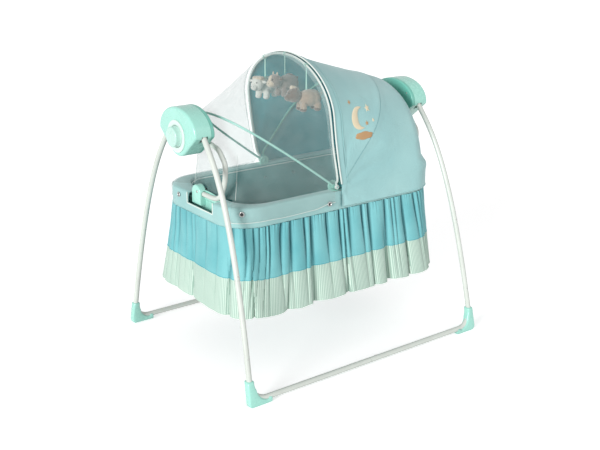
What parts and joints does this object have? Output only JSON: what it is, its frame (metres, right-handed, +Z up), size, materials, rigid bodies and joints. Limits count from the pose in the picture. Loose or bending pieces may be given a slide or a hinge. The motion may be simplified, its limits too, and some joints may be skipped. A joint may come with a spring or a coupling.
{
  "type": "swinging bassinet crib",
  "caption": "Fabric basket with folding hood and net, hung by curved arms between two housings on bowed folding legs",
  "frame": {"origin": "On the floor, in the middle of the stand.", "axes": "+X points to the head end with the hood, -X to the drive end with the dial, -Y to the near side that the arms bulge to, +Z up."},
  "size_m": [1.041, 0.841, 1.0507],
  "materials": {
    "mint_plastic": "glossy moulded plastic, pale mint green",
    "white_tube": "off-white powder coat on steel tube",
    "steel": "plain turned steel",
    "copper": "enamelled copper winding",
    "circuit_board": "green circuit board",
    "black_plastic": "matt black plastic",
    "nylon": "natural nylon",
    "ivory_plastic": "glossy ivory plastic",
    "aqua_satin": "light aqua satin",
    "pale_aqua_cloth": "pale aqua padded cloth",
    "turquoise_cloth": "turquoise satin, gathered",
    "sage_cloth": "sage cloth with fine pin stripes",
    "mesh_cloth": "grey-green spacer mesh",
    "net_cloth": "white mosquito net",
    "birch_board": "plain birch plywood",
    "ticking": "pale cotton cover",
    "plush_white": "white plush",
    "plush_brown": "grey-brown plush",
    "plush_taupe": "taupe plush"
  },
  "bodies": {
    "stand": {"drive_housing_shell": "mint_plastic", "drive_housing_plate": "mint_plastic", "idler_housing_shell": "mint_plastic", "idler_housing_plate": "mint_plastic", "dial_collar": "ivory_plastic", "swing_coil": "copper", "control_board": "circuit_board", "dc_inlet": "black_plastic", "drive_bush": "nylon", "head_bush": "nylon", "near_drive_leg_pin": "steel", "near_head_leg_pin": "steel", "far_drive_leg_pin": "steel", "far_head_leg_pin": "steel"},
    "near_frame": {"near_drive_leg": "white_tube", "near_drive_corner_tube": "white_tube", "near_drive_shoe": "mint_plastic", "near_head_leg": "white_tube", "near_head_corner_tube": "white_tube", "near_head_shoe": "mint_plastic"},
    "far_frame": {"far_drive_leg": "white_tube", "far_drive_corner_tube": "white_tube", "far_drive_shoe": "mint_plastic", "far_head_leg": "white_tube", "far_head_corner_tube": "white_tube", "far_head_shoe": "mint_plastic"},
    "cradle": {"drive_hub": "mint_plastic", "head_hub": "mint_plastic", "magnet_arm": "steel", "drive_hanger": "white_tube", "head_hanger": "white_tube", "drive_socket": "mint_plastic", "head_socket": "mint_plastic", "rim_tube": "white_tube", "floor_board": "birch_board", "mattress": "ticking", "basket_liner": "mesh_cloth", "rim_band": "pale_aqua_cloth", "skirt_upper": "turquoise_cloth", "skirt_lower": "sage_cloth", "hood_end_bow": "white_tube", "near_hinge_base": "mint_plastic", "far_hinge_base": "mint_plastic"},
    "dial": {"speed_dial": "mint_plastic"},
    "rear_hood": {"rear_bow": "mint_plastic", "hood_rear_panel": "aqua_satin"},
    "front_hood": {"front_bow": "mint_plastic", "hood_front_panel": "aqua_satin"},
    "net_frame": {"net_bow": "mint_plastic", "mosquito_net": "net_cloth"},
    "lamb": {"lamb_ribbon": "mint_plastic", "lamb_trunk": "plush_white", "lamb_head": "plush_white"},
    "calf": {"calf_ribbon": "mint_plastic", "calf_trunk": "plush_brown", "calf_head": "plush_brown"},
    "pony": {"pony_ribbon": "mint_plastic", "pony_trunk": "plush_taupe", "pony_head": "plush_taupe"}
  },
  "joints": [
    {"name": "dial_turn", "type": "hinge", "parent": "stand", "child": "dial", "pos_m": [-0.505, 0, 0.814], "axis": [-1, 0, 0], "range_deg": [0, 270]},
    {"name": "near_frame_fold", "type": "hinge", "parent": "stand", "child": "near_frame", "pos_m": [0, -0.088, 0.848], "axis": [1, 0, 0], "range_deg": [0, 17.5]},
    {"name": "far_frame_fold", "type": "hinge", "parent": "stand", "child": "far_frame", "pos_m": [0, 0.088, 0.848], "axis": [1, 0, 0], "range_deg": [-17.5, 0]},
    {"name": "cradle_swing", "type": "hinge", "parent": "stand", "child": "cradle", "pos_m": [0, 0, 0.814], "axis": [1, 0, 0], "range_deg": [-15, 15]},
    {"name": "hood_fold", "type": "hinge", "parent": "cradle", "child": "rear_hood", "pos_m": [-0.02, 0, 0.612], "axis": [0, 1, 0], "range_deg": [0, 14], "deforming": ["hood_rear_panel"]},
    {"name": "front_bow_fold", "type": "hinge", "parent": "rear_hood", "child": "front_hood", "pos_m": [-0.02, 0, 0.612], "axis": [0, 1, 0], "range_deg": [0, 28], "deforming": ["hood_front_panel"]},
    {"name": "net_lift", "type": "hinge", "parent": "front_hood", "child": "net_frame", "pos_m": [-0.02, 0, 0.612], "axis": [0, 1, 0], "range_deg": [0, 30], "deforming": ["mosquito_net"]},
    {"name": "lamb_swing", "type": "hinge", "parent": "front_hood", "child": "lamb", "pos_m": [-0.06976, 0.1229, 1.01961], "axis": [0, 1, 0], "range_deg": [-15, 15]},
    {"name": "calf_swing", "type": "hinge", "parent": "front_hood", "child": "calf", "pos_m": [-0.06999, 0, 1.0443], "axis": [0, 1, 0], "range_deg": [-15, 15]},
    {"name": "pony_swing", "type": "hinge", "parent": "front_hood", "child": "pony", "pos_m": [-0.06976, -0.1229, 1.01961], "axis": [0, 1, 0], "range_deg": [-15, 15]}
  ],
  "couplings": [
    {"joint": "far_frame_fold", "follows": "near_frame_fold", "ratio": -1},
    {"joint": "front_bow_fold", "follows": "hood_fold", "ratio": 2}
  ]
}
